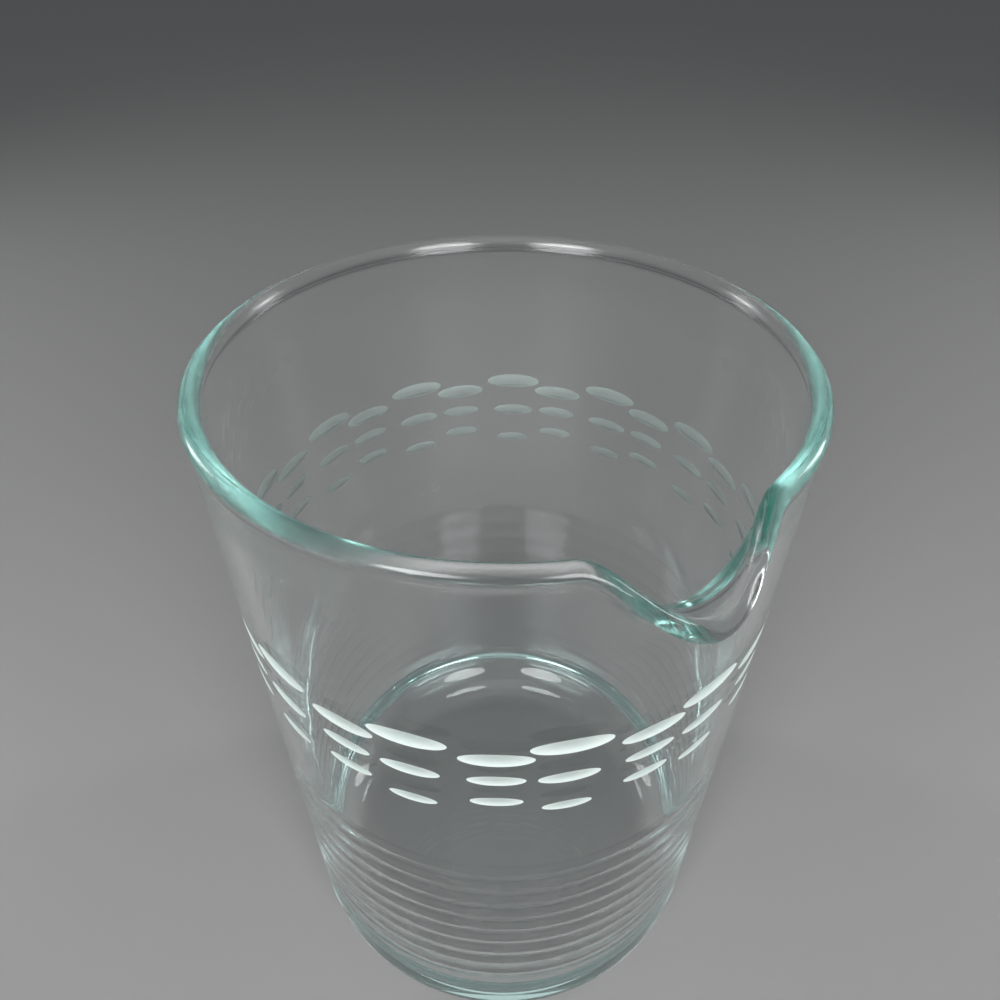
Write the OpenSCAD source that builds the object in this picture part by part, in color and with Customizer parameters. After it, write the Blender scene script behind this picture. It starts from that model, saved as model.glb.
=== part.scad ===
// Cocktail pitcher of clear glass: a straight round body with a thick base, a pulled pour lip,
// a band of wheel-cut olives under the rim and shallow rings round the lower wall.
// The glass is one piece. It is drawn as five zones that meet on flat faces.
// Lengths are in millimetres, +Z is up, the origin is the middle of the underside,
// and the pour lip points along +X.

/* [Body] */
// Outside diameter of the straight wall
body_d = 105; // [90:1:130]
// Height of the rim above the table
body_h = 160; // [145:1:220]
// Glass thickness of the wall
wall = 2.8; // [2.2:0.1:3.4]
// Glass thickness of the floor
floor_thick = 10; // [6:0.5:14]
// Rounding of the outside edge at the foot
heel_r = 14; // [8:0.5:18]
// Rounding between the floor and the wall inside
floor_fillet_r = 14; // [8:0.5:18]

/* [Rim] */
// How far the fire-polished bead stands proud of each face of the wall
rim_swell = 0.35; // [0.1:0.05:0.8]
// Depth of the plain band between the rim and the cut band
rim_band_h = 32; // [26:0.5:34]

/* [Pour lip] */
// How far the tip of the lip stands out from the wall
lip_reach = 6.3; // [3:0.1:9]
// How far the tip of the lip dips below the rim
lip_drop = 9.3; // [4:0.1:12]
// Angle to each side of the lip over which the rim is pulled out and down
lip_spread = 18.6; // [14:0.1:26]

/* [Cut band] */
// Depth of the band that carries the cuts
cut_band_h = 32; // [28:0.5:40]
// Number of main columns, with one column between each two
main_columns = 13; // [9:1:13]
// Angle from the lip to the first main column
first_column_turn = 11.4; // [0:0.1:27]
// How far the columns between are turned from the middle
between_turn = 1.3; // [0:0.1:2]
// Depths of the main columns' three rows below the rim
main_row_depths = [37, 45.5, 54]; // [36.5:0.1:60]
// Lengths of the cuts in the main columns, from the top row
main_cut_lengths = [13.1, 10.1, 8.4]; // [4:0.1:14]
// Depths of the other columns' three rows below the rim
between_row_depths = [39.5, 45.3, 51.6]; // [36.5:0.1:60]
// Lengths of the cuts in the other columns, from the top row
between_cut_lengths = [11.8, 9.3, 8.6]; // [4:0.1:13]
// Radius of the cutting wheel
wheel_r = 75; // [50:1:120]
// Radius of the wheel's rounded edge
wheel_edge_r = 2.7; // [1.5:0.1:3]

/* [Rings] */
// Number of rings round the lower wall
ring_count = 11; // [1:1:12]
// Height of the lowest ring above the table
ring_low = 19.6; // [16:0.1:30]
// Spacing of the rings
ring_pitch = 6.2; // [4:0.1:7]
// Width of a ring
ring_wide = 0.8; // [0.6:0.1:2.4]
// Depth of a ring
ring_deep = 0.02; // [0.02:0.01:0.3]

/* [Hidden] */
$fn = 96;

// How far a cutting shape runs past the face that it cuts
overrun = 1;
// Powers with which the lip's turn outwards and its dip grow on the way up the wall
out_power = 7;
down_power = 3;
// Number of steps round the lip, up its wall, up the straight wall beside it and over the bead
lip_steps = 28;
lip_wall_steps = 24;
rim_wall_steps = 1;
bead_steps = 16;

body_r = body_d / 2;
bore_r = body_r - wall;
mid_r = body_r - wall / 2;
bead_r = wall / 2 + rim_swell;
bead_z = body_h - bead_r;
base_high = max(heel_r, floor_thick + floor_fillet_r);
rim_low = body_h - rim_band_h;
cut_low = rim_low - cut_band_h;
column_step = 360 / main_columns;
ring_edge_r = (ring_wide * ring_wide / 4 + ring_deep * ring_deep) / (2 * ring_deep);

// Depth that the wheel goes in to leave a cut of the given length on the round wall
function bite(cut_length) = pow(cut_length / 2, 2) * (body_r + wheel_r) / (2 * body_r * wheel_r);

// Wave that is 1 at the middle of the lip and falls smoothly to 0 at the end of its spread
function wave(a) = abs(a) >= lip_spread ? 0 : pow(cos(90 * a / lip_spread), 2);

function lip_out(a) = lip_reach * wave(a);
function lip_down(a) = lip_drop * wave(a);

// Middle of the glass at share s of the way up the lip's wall, as radius and height
function lip_mid(a, s) = [
    mid_r + lip_out(a) * pow(s, out_power),
    rim_low + (bead_z - rim_low) * s - lip_down(a) * pow(s, down_power)
];

// Unit direction up the glass there, and the unit direction out of it
function lip_along(a, s) =
    let (d = [
        out_power * lip_out(a) * pow(s, out_power - 1),
        bead_z - rim_low - down_power * lip_down(a) * pow(s, down_power - 1)
    ])
    d / norm(d);
function turned_out(d) = [d[1], -d[0]];

// Angle below the bead's middle at which the wall's faces run into the bead
bead_join = acos(wall / 2 / bead_r);
wall_top_share = 1 - bead_r * sin(bead_join) / (bead_z - rim_low);

// One side of the lip's wall, from its foot up: side is 1 outside and -1 inside
function lip_side(a, side, steps) = [
    for (i = [0:steps])
        let (s = wall_top_share * i / steps)
        lip_mid(a, s) + side * wall / 2 * turned_out(lip_along(a, s))
];

// The bead over the top of the wall, from outside to inside, without its two ends
function lip_bead(a) =
    let (up = lip_along(a, 1), sweep = 180 + 2 * bead_join)
    [
        for (i = [1:bead_steps - 1])
            let (t = sweep * i / bead_steps - bead_join)
            lip_mid(a, 1) + bead_r * (cos(t) * turned_out(up) + sin(t) * up)
    ];

function reversed(list) = [for (i = [len(list) - 1:-1:0]) list[i]];

// Section of the glass at angle a, once round. From the lip's spread on it is the plain rim's
function lip_section(a, steps) =
    concat(lip_side(a, 1, steps), lip_bead(a), reversed(lip_side(a, -1, steps)));

module glass() {
    color([0.80, 0.92, 0.90, 0.55]) children();
}

// Half outline of a round cup with a rounded bottom edge, from the axis outwards
module cup_half(r, h, corner_r) {
    square([r - corner_r, h]);
    translate([0, corner_r]) square([r, h - corner_r]);
    translate([r - corner_r, corner_r]) circle(corner_r);
}

module tube(low, high) {
    translate([0, 0, low]) difference() {
        cylinder(r = body_r, h = high - low);
        translate([0, 0, -overrun]) cylinder(r = bore_r, h = high - low + 2 * overrun);
    }
}

// Shallow round-bottomed rings, turned into the outside of the wall
module rings() {
    for (i = [0:ring_count - 1])
        translate([0, 0, ring_low + i * ring_pitch])
            rotate_extrude() translate([body_r + ring_edge_r - ring_deep, 0]) circle(ring_edge_r);
}

// Bite of the wheel's rounded edge, which leaves one olive on the wall
module olive(depth, cut_length) {
    half_sweep = asin((cut_length / 2 + overrun) / wheel_r);
    translate([body_r + wheel_r - bite(cut_length), 0, body_h - depth])
        rotate(180 - half_sweep)
            rotate_extrude(angle = 2 * half_sweep)
                translate([wheel_r - wheel_edge_r, 0]) circle(wheel_edge_r);
}

// All columns of one kind, each a stack of olives
module columns(first_turn, depths, lengths) {
    for (i = [0:main_columns - 1], row = [0:len(depths) - 1])
        rotate(first_turn + i * column_step) olive(depths[row], lengths[row]);
}

module thick_base() {
    glass() difference() {
        rotate_extrude() difference() {
            cup_half(body_r, base_high, heel_r);
            translate([0, floor_thick])
                cup_half(bore_r, base_high - floor_thick + overrun, floor_fillet_r);
        }
        rings();
    }
}

module ringed_wall() {
    glass() difference() {
        tube(base_high, cut_low);
        rings();
    }
}

module cut_band() {
    between_first = first_column_turn + column_step / 2 + between_turn;
    glass() difference() {
        difference() {
            tube(cut_low, rim_low);
            columns(first_column_turn, main_row_depths, main_cut_lengths);
        }
        columns(between_first, between_row_depths, between_cut_lengths);
    }
}

module rim_band() {
    glass() rotate(lip_spread) rotate_extrude(angle = 360 - 2 * lip_spread)
        polygon(lip_section(lip_spread, rim_wall_steps));
}

module pour_lip() {
    angles = [for (i = [0:lip_steps]) lip_spread * (2 * i / lip_steps - 1)];
    sections = [for (a = angles) lip_section(a, lip_wall_steps)];
    n = len(sections[0]);
    points = [
        for (i = [0:lip_steps], p = sections[i])
            [p[0] * cos(angles[i]), p[0] * sin(angles[i]), p[1]]
    ];
    sides = [
        for (i = [0:lip_steps - 1], j = [0:n - 1])
            let (k = (j + 1) % n, here = i * n, next = here + n)
            each [[here + j, here + k, next + k], [here + j, next + k, next + j]]
    ];
    // Each end face is a ladder of triangles between the outer and the inner side
    ladder = [
        for (j = [0:(n - 3) / 2])
            each [[j, n - 1 - j, j + 1], if (j + 1 < n - 2 - j) [j + 1, n - 1 - j, n - 2 - j]]
    ];
    far_end = [for (f = ladder) [for (v = reversed(f)) v + lip_steps * n]];
    glass() polyhedron(points, concat(sides, ladder, far_end));
}

thick_base();
ringed_wall();
cut_band();
rim_band();
pour_lip();
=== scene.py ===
import math

import bpy
import numpy as np
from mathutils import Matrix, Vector
from mathutils.geometry import delaunay_2d_cdt


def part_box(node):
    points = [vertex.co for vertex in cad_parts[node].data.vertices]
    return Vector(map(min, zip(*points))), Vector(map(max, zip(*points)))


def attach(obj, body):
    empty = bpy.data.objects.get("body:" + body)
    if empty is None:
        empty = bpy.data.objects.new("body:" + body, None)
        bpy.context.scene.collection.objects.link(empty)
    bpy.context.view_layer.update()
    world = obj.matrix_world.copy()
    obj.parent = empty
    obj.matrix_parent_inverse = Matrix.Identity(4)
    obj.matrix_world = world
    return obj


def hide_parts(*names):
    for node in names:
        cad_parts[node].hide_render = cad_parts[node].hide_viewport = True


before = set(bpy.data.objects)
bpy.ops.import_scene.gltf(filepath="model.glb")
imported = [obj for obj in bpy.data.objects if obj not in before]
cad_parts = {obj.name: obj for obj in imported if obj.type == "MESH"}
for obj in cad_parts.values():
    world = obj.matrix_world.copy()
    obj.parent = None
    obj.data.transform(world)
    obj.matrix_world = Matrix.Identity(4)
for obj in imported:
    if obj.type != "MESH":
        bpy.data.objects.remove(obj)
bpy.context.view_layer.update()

# Blown body: one gather of clear soda-lime glass, heavy in the base and even up the wall.
# The outline is half of its section, from the middle of the underside out, up and back in, as
# pairs of radius and height. A guard beside each rounding keeps the flat glass next to it flat.
mm = 0.001
body_radius = 52.5 * mm
wall_thickness = 2.8 * mm
floor_thickness = 10 * mm
heel_radius = 14 * mm
floor_fillet = 14 * mm
bore_radius = body_radius - wall_thickness
middle_radius = body_radius - wall_thickness / 2
underside_flat = body_radius - heel_radius
floor_flat = bore_radius - floor_fillet
inner_corner_height = floor_thickness + floor_fillet
flat_guard = 0.4 * mm
flat_points = 8
round_points = 20


def spread(first, last, count):
    """Evenly spread values, both ends included."""
    return [float(v) for v in np.linspace(first, last, count)]


def arc(centre_radius, centre_height, radius, first_degrees, last_degrees):
    """Points along an arc of the section."""
    places = []
    for degrees in spread(first_degrees, last_degrees, round_points):
        a = math.radians(degrees)
        places.append((centre_radius + radius * math.cos(a), centre_height + radius * math.sin(a)))
    return places


underside = [(r, 0.0) for r in spread(0, underside_flat - flat_guard, flat_points)[1:]]
heel = arc(underside_flat, heel_radius, heel_radius, -90, 0)
inner_corner = arc(floor_flat, inner_corner_height, floor_fillet, 0, -90)
floor_inside = [(r, floor_thickness) for r in spread(floor_flat - flat_guard, 0, flat_points)[:-1]]

# Rings: eleven shallow grooves pressed round the lower wall and polished clear again.
# The wall swells a hair between each two, so they show only where they bend the light.
ring_count = 11
ring_low = 19.6 * mm
ring_pitch = 6.2 * mm
ring_width = 0.8 * mm
ring_depth = 0.02 * mm
ring_swell = 0.06 * mm
ring_points = 7
half_swell = (ring_pitch - ring_width) / 2
slope_offset = (ring_width + half_swell) / 2
slope_radius = body_radius - ring_swell / 4
ringed_wall = [(body_radius, heel_radius + flat_guard)]
for i in range(ring_count):
    ring_height = ring_low + i * ring_pitch
    ringed_wall.append((slope_radius, ring_height - slope_offset))
    for share in spread(-1, 1, ring_points):
        groove = ring_swell + ring_depth * (1 - share ** 2)
        ringed_wall.append((body_radius - groove, ring_height + share * ring_width / 2))
    ringed_wall.append((slope_radius, ring_height + slope_offset))
    ringed_wall.append((body_radius, ring_height + ring_pitch / 2))

# Rim and pour lip: the wall's edge melted into a bead a little thicker than the wall.
# The lip was pulled out and down from it while it was hot, and the wall below follows in a swell.
rim_swell = 0.34 * mm
lip_reach = 6.3 * mm
lip_drop = 9.3 * mm
lip_spread = 18.6
out_power = 7
down_power = 3
rim_wall_points = 34
bead_points = 21
rim_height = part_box("rim_band")[1].z
plain_rim_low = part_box("cut_band")[1].z
bead_radius = wall_thickness / 2 + rim_swell
bead_height = rim_height - bead_radius
plain_rim_rise = bead_height - plain_rim_low
bead_join = math.acos(wall_thickness / 2 / bead_radius)
wall_top_share = 1 - bead_radius * math.sin(bead_join) / plain_rim_rise


def lip_wave(degrees):
    """1 at the middle of the lip, falling smoothly to 0 at the end of its spread."""
    if abs(degrees) >= lip_spread:
        return 0.0
    return math.cos(math.pi / 2 * degrees / lip_spread) ** 2


def rim_outline(degrees):
    """The rim's section at an angle from the lip: up the outside, over the bead, down the inside."""
    out = lip_reach * lip_wave(degrees)
    down = lip_drop * lip_wave(degrees)

    def middle(share):
        height = plain_rim_low + plain_rim_rise * share - down * share ** down_power
        return np.array((middle_radius + out * share ** out_power, height))

    def upward(share):
        outward_slope = out_power * out * share ** (out_power - 1)
        upward_slope = plain_rim_rise - down_power * down * share ** (down_power - 1)
        way = np.array((outward_slope, upward_slope))
        return way / np.linalg.norm(way)

    def outward(share):
        up = upward(share)
        return np.array((up[1], -up[0]))

    shares = spread(0, wall_top_share, rim_wall_points)
    outside = [middle(s) + wall_thickness / 2 * outward(s) for s in shares]
    inside = [middle(s) - wall_thickness / 2 * outward(s) for s in reversed(shares)]
    bead = []
    for t in spread(-bead_join, math.pi + bead_join, bead_points)[1:-1]:
        bead_way = math.cos(t) * outward(1) + math.sin(t) * upward(1)
        bead.append(middle(1) + bead_radius * bead_way)
    return outside + bead + inside


# The section is swept once round in even steps, and neighbouring faces share their points.
# The sweep leaves out the straight band that carries the cuts.
turn_steps = 312
step_degrees = 360 / turn_steps
turn_grain = 1000
point_gap = 0.001 * mm
inner_wall_points = 12
points = []
point_numbers = {}
faces = []
cut_faces = {}


def point(radius, degrees, height):
    """The number of the point at this place, which is made only once."""
    turn_key = round(degrees / step_degrees * turn_grain) % (turn_steps * turn_grain)
    key = (round(radius / point_gap), turn_key, round(height / point_gap))
    if key not in point_numbers:
        a = math.radians(degrees)
        point_numbers[key] = len(points)
        points.append((radius * math.cos(a), radius * math.sin(a), height))
    return point_numbers[key]


band_low = ringed_wall[-1][1]
inner_wall_low = inner_corner_height + flat_guard
inner_wall = [(bore_radius, z) for z in spread(plain_rim_low, inner_wall_low, inner_wall_points)[1:]]
lower_outside = underside + heel + ringed_wall
rounds = []
for i in range(turn_steps):
    degrees = i * step_degrees
    from_lip = (degrees + 180) % 360 - 180
    upper = rim_outline(from_lip) + inner_wall + inner_corner + floor_inside
    rounds.append([[point(r, degrees, z) for r, z in part] for part in (lower_outside, upper)])
underside_middle = point(0, 0, 0)
floor_middle = point(0, 0, floor_thickness)
for i in range(turn_steps):
    this_round = rounds[i]
    next_round = rounds[(i + 1) % turn_steps]
    for here, there in zip(this_round, next_round):
        for j in range(len(here) - 1):
            faces.append((here[j], there[j], there[j + 1], here[j + 1]))
    faces.append((underside_middle, next_round[0][0], this_round[0][0]))
    faces.append((floor_middle, this_round[1][-1], next_round[1][-1]))

# Olives: pointed ovals ground into the cold wall with the rounded edge of a stone wheel,
# in columns of three that are longest at the top, and left grey from the stone.
# A cut is given by its depth below the rim and its length.
column_count = 13
first_column = 11.4
between_turn = 1.3
wheel_radius = 75 * mm
wheel_edge = 2.7 * mm
main_cuts = [(37 * mm, 13.1 * mm), (45.5 * mm, 10.1 * mm), (54 * mm, 8.4 * mm)]
between_cuts = [(39.5 * mm, 11.8 * mm), (45.3 * mm, 9.3 * mm), (51.6 * mm, 8.6 * mm)]
column_degrees = 360 / column_count
between_column = first_column + column_degrees / 2 + between_turn


def bite(length):
    """How far the wheel goes in to leave an olive of this length on the round wall."""
    return (length / 2) ** 2 * (body_radius + wheel_radius) / (2 * body_radius * wheel_radius)


def ground_radius(length, off_degrees, off_height):
    """The radius of the cut's face, off the middle of an olive by this turn and height."""
    wheel_middle = body_radius + wheel_radius - bite(length)
    edge = wheel_radius - wheel_edge + math.sqrt(wheel_edge ** 2 - off_height ** 2)
    a = math.radians(off_degrees)
    return wheel_middle * math.cos(a) - math.sqrt(edge ** 2 - (wheel_middle * math.sin(a)) ** 2)


def olive_half_height(length):
    """Half of the height of an olive of this length."""
    return math.sqrt(wheel_edge ** 2 - (wheel_edge - bite(length)) ** 2)


def olive_outline(length, count):
    """Where the cut runs out on the wall, as turns and heights off its middle."""
    wheel_middle = body_radius + wheel_radius - bite(length)
    half_height = olive_half_height(length)
    outline = []
    for i in range(count):
        t = 2 * math.pi * (i + 0.5) / count
        height = half_height * math.sin(t)
        edge = wheel_radius - wheel_edge + math.sqrt(wheel_edge ** 2 - height ** 2)
        far = (body_radius ** 2 + wheel_middle ** 2 - edge ** 2) / (2 * body_radius * wheel_middle)
        turn = math.degrees(math.acos(min(far, 1)))
        outline.append((math.copysign(turn, math.cos(t)), height))
    return outline


# One stretch of the band, with a column of each kind, is laid out flat and joined up in triangles.
# The same stretch then goes round the wall once for each main column.
# The wheel leaves the edge of each olive greyer than its middle.
olive_points = 44
olive_ring_shares = (0.86, 0.68, 0.46, 0.22)
middle_grey = 0.5
band_steps = 15
column_room = 0.8
wall_room = 0.4 * mm
join_gap = 1e-9
triangles_inside = 1
stretch_steps = turn_steps // column_count
free_turn = first_column + math.degrees(main_cuts[0][1] / 2 / body_radius) + column_room
stretch_start = round(free_turn / step_degrees) * step_degrees
flat_spots = []
flat_places = []
flat_greys = []
flat_loops = []


def lay(degrees, height, radius=body_radius, grey=1.0):
    """Puts a point of the stretch on the flat, and keeps its place on the wall and its greyness."""
    flat_spots.append(Vector((math.radians(degrees) * body_radius, height)))
    flat_places.append((radius, degrees, height))
    flat_greys.append(grey)
    return len(flat_spots) - 1


band_heights = spread(band_low, plain_rim_low, band_steps + 1)
turns = [stretch_start + i * step_degrees for i in range(stretch_steps + 1)]
bottom = [lay(a, band_low) for a in turns]
right = [lay(turns[-1], z) for z in band_heights[1:-1]]
top = [lay(a, plain_rim_low) for a in reversed(turns)]
left = [lay(turns[0], z) for z in reversed(band_heights[1:-1])]
flat_loops.append(bottom + right + top + left)
olives = [(between_column, depth, length) for depth, length in between_cuts]
olives += [(first_column + column_degrees, depth, length) for depth, length in main_cuts]
for column, depth, length in olives:
    middle_height = rim_height - depth
    outline = olive_outline(length, olive_points)
    flat_loops.append([lay(column + a, middle_height + z) for a, z in outline])
    for share in olive_ring_shares:
        for a, z in outline[::2]:
            sunk = ground_radius(length, a * share, z * share)
            grey = middle_grey + (1 - middle_grey) * share ** 2
            lay(column + a * share, middle_height + z * share, sunk, grey)
    lay(column, middle_height, ground_radius(length, 0, 0), middle_grey)


def clear_of_olives(degrees, height):
    """True if a point of the wall leaves room round every olive."""
    for column, depth, length in olives:
        across = math.radians(degrees - column) * body_radius / (length / 2 + wall_room)
        up = (height - rim_height + depth) / (olive_half_height(length) + wall_room)
        if across ** 2 + up ** 2 < 1:
            return False
    return True


for a in turns[1:-1]:
    for z in band_heights[1:-1]:
        if clear_of_olives(a, z):
            lay(a, z)
joined = delaunay_2d_cdt(flat_spots, [], flat_loops, triangles_inside, join_gap)
joined_faces, first_spots, owners = joined[2], joined[3], joined[5]
for i in range(column_count):
    for face, owner in zip(joined_faces, owners):
        spots = [first_spots[v][0] for v in face]
        if max(owner) > 0:
            cut_faces[len(faces)] = [flat_greys[spot] for spot in spots]
        places = [flat_places[spot] for spot in spots]
        faces.append(tuple(point(r, degrees + i * column_degrees, z) for r, degrees, z in places))
glass_mesh = bpy.data.meshes.new("pitcher_glass")
glass_mesh.from_pydata(points, [], faces)
pitcher = bpy.data.objects.new("pitcher_glass", glass_mesh)
bpy.context.scene.collection.objects.link(pitcher)

# Only the faces that the wheel touched are grey. The rest of the glass is smooth,
# and the edge of each olive stays crisp.
stone_grey = glass_mesh.attributes.new("stone_grey", "FLOAT", "CORNER")
for number, greys in cut_faces.items():
    for corner, grey in zip(glass_mesh.polygons[number].loop_indices, greys):
        stone_grey.data[corner].value = grey
glass_mesh.polygons.foreach_set("use_smooth", np.ones(len(faces), bool))
cut_sides = {}
for face in glass_mesh.polygons:
    for key in face.edge_keys:
        cut_sides.setdefault(key, set()).add(face.index in cut_faces)
crisp = glass_mesh.attributes.new("sharp_edge", "BOOLEAN", "EDGE")
crisp.data.foreach_set("value", [len(cut_sides[e.key]) == 2 for e in glass_mesh.edges])
glass_mesh.update()

# Soda-lime glass: nearly clear through the wall, aqua where the light runs far along inside it.
# The cuts are matt and scatter the light, faintly blue-green, with the fine grain of the stone.
# The melted rim and lip are a little uneven, which blurs what is seen along inside the wall.
glass_index = 1.52
polish_colour = (0.985, 0.995, 0.995, 1)
cut_colour = (0.86, 0.97, 0.935, 1)
cut_colour_from = 0.4
polish_roughness = 0.0
cut_roughness = 0.85
polish_transmission = 1.0
cut_transmission = 0.05
melt_roughness = 0.14
melt_low = rim_height - 15 * mm
melt_high = rim_height - lip_drop
swells_per_metre = 45
swell_height = 0.025 * mm
grains_per_metre = 6000
grain_height = 0.03 * mm
aqua = (0.20, 0.84, 0.76, 1)
aqua_density = 3.8
glass = bpy.data.materials.new("clear_soda_glass")
glass.use_nodes = True
nodes = glass.node_tree.nodes
links = glass.node_tree.links
shader = nodes["Principled BSDF"]
shader.inputs["IOR"].default_value = glass_index
grey = nodes.new("ShaderNodeAttribute")
grey.attribute_name = "stone_grey"
colour = nodes.new("ShaderNodeValToRGB")
colour.color_ramp.elements[0].color = polish_colour
colour.color_ramp.elements[1].color = cut_colour
colour.color_ramp.elements[1].position = cut_colour_from
links.new(grey.outputs["Fac"], colour.inputs["Fac"])
links.new(colour.outputs["Color"], shader.inputs["Base Color"])


def by_grey(polished, ground):
    """A value for the polish and another for the cuts."""
    step = nodes.new("ShaderNodeMapRange")
    step.inputs["To Min"].default_value = polished
    step.inputs["To Max"].default_value = ground
    links.new(grey.outputs["Fac"], step.inputs["Value"])
    return step.outputs["Result"]


links.new(by_grey(polish_transmission, cut_transmission), shader.inputs["Transmission Weight"])
place = nodes.new("ShaderNodeTexCoord")
place_parts = nodes.new("ShaderNodeSeparateXYZ")
links.new(place.outputs["Object"], place_parts.inputs["Vector"])
melt = nodes.new("ShaderNodeMapRange")
melt.inputs["From Min"].default_value = melt_low
melt.inputs["From Max"].default_value = melt_high
melt.inputs["To Max"].default_value = melt_roughness
links.new(place_parts.outputs["Z"], melt.inputs["Value"])
roughness = nodes.new("ShaderNodeMath")
roughness.operation = "ADD"
links.new(by_grey(polish_roughness, cut_roughness), roughness.inputs[0])
links.new(melt.outputs["Result"], roughness.inputs[1])
links.new(roughness.outputs["Value"], shader.inputs["Roughness"])


def bumps(scale, height, under=None):
    """Soft unevenness: so many swells to the metre, this high."""
    swells = nodes.new("ShaderNodeTexNoise")
    swells.inputs["Scale"].default_value = scale
    swells.inputs["Detail"].default_value = 0
    links.new(place.outputs["Object"], swells.inputs["Vector"])
    bump = nodes.new("ShaderNodeBump")
    bump.inputs["Strength"].default_value = 1
    bump.inputs["Distance"].default_value = height
    links.new(swells.outputs["Fac"], bump.inputs["Height"])
    if under:
        links.new(under.outputs["Normal"], bump.inputs["Normal"])
    return bump


wavy = bumps(swells_per_metre, swell_height)
grain = bumps(grains_per_metre, grain_height, wavy)
links.new(grey.outputs["Fac"], grain.inputs["Strength"])
links.new(grain.outputs["Normal"], shader.inputs["Normal"])
tint = nodes.new("ShaderNodeVolumeAbsorption")
tint.inputs["Color"].default_value = aqua
tint.inputs["Density"].default_value = aqua_density
links.new(tint.outputs["Volume"], nodes["Material Output"].inputs["Volume"])
glass_mesh.materials.append(glass)
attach(pitcher, "root")
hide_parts("thick_base", "ringed_wall", "cut_band", "rim_band", "pour_lip")

# Table: a plain pale sheet with a dull face, much wider than the view.
# The pitcher stands a hair above it, so that glass and table share no face.
table_size = 8
table_gap = 0.15 * mm
table_colour = (0.42, 0.42, 0.415, 1)
table_roughness = 0.45
bpy.ops.mesh.primitive_plane_add(size=table_size, location=(0, 0, -table_gap))
table = bpy.context.object
table.name = "table"
dull = bpy.data.materials.new("pale_table")
dull.use_nodes = True
dull_shader = dull.node_tree.nodes["Principled BSDF"]
dull_shader.inputs["Base Color"].default_value = table_colour
dull_shader.inputs["Roughness"].default_value = table_roughness
table.data.materials.append(dull)

# Studio light: two soft oval panels in front, a narrow one at each side and one above, in a grey room.
# Each panel's angles are counted from the camera's side and from the table, in degrees.
view_turn = 62.7
room_grey = (0.13, 0.134, 0.138, 1)


def panel(name, around, up, distance, width, height, power):
    """A soft panel aimed at the pitcher."""
    a = math.radians(view_turn + around - 90)
    e = math.radians(up)
    lamp = bpy.data.lights.new(name, "AREA")
    lamp.shape = "ELLIPSE"
    lamp.size = width
    lamp.size_y = height
    lamp.energy = power
    light = bpy.data.objects.new(name, lamp)
    target = Vector((0, 0, rim_height / 2))
    way = Vector((math.cos(a) * math.cos(e), math.sin(a) * math.cos(e), math.sin(e)))
    light.location = target + distance * way
    light.rotation_euler = (target - light.location).to_track_quat("-Z", "Y").to_euler()
    light.visible_camera = False
    bpy.context.scene.collection.objects.link(light)


panel("left_panel", around=-26, up=30, distance=0.75, width=0.32, height=0.34, power=2.7)
panel("right_panel", around=26, up=30, distance=0.75, width=0.32, height=0.34, power=2.4)
panel("left_side_panel", around=-112, up=22, distance=0.80, width=0.12, height=0.36, power=0.9)
panel("right_side_panel", around=112, up=22, distance=0.80, width=0.12, height=0.36, power=0.9)
panel("top_panel", around=0, up=72, distance=0.85, width=0.50, height=0.40, power=0.3)
room = bpy.data.worlds.new("room")
room.use_nodes = True
room.node_tree.nodes["Background"].inputs["Color"].default_value = room_grey
bpy.context.scene.world = room

# Camera: the photograph's place, above the rim and looking down into the pitcher.
# Its distances are counted in radii of the rim. Light that is caught in the wall turns many
# times before it gets out, so it is followed for many bounces.
rim_radius = body_radius + rim_swell
view_back = 2.133 * rim_radius
view_side = -0.016 * rim_radius
view_above_rim = 1.21 * rim_radius
view_down = 40.2
sensor_width = 36
focal_length = 27.04
nearest_seen = 5 * mm
light_bounces = 160
lens = bpy.data.cameras.new("camera")
lens.sensor_width = sensor_width
lens.lens = focal_length
lens.clip_start = nearest_seen
camera = bpy.data.objects.new("camera", lens)
turn = math.radians(view_turn)
camera.location = (
    view_side * math.cos(turn) + view_back * math.sin(turn),
    view_side * math.sin(turn) - view_back * math.cos(turn),
    bead_height + view_above_rim,
)
camera.rotation_euler = (math.radians(90 - view_down), 0, turn)
bpy.context.scene.collection.objects.link(camera)
bpy.context.scene.camera = camera
bpy.context.scene.view_settings.view_transform = "Standard"
bpy.context.scene.cycles.max_bounces = light_bounces
bpy.context.scene.cycles.transmission_bounces = light_bounces
bpy.context.scene.cycles.glossy_bounces = light_bounces
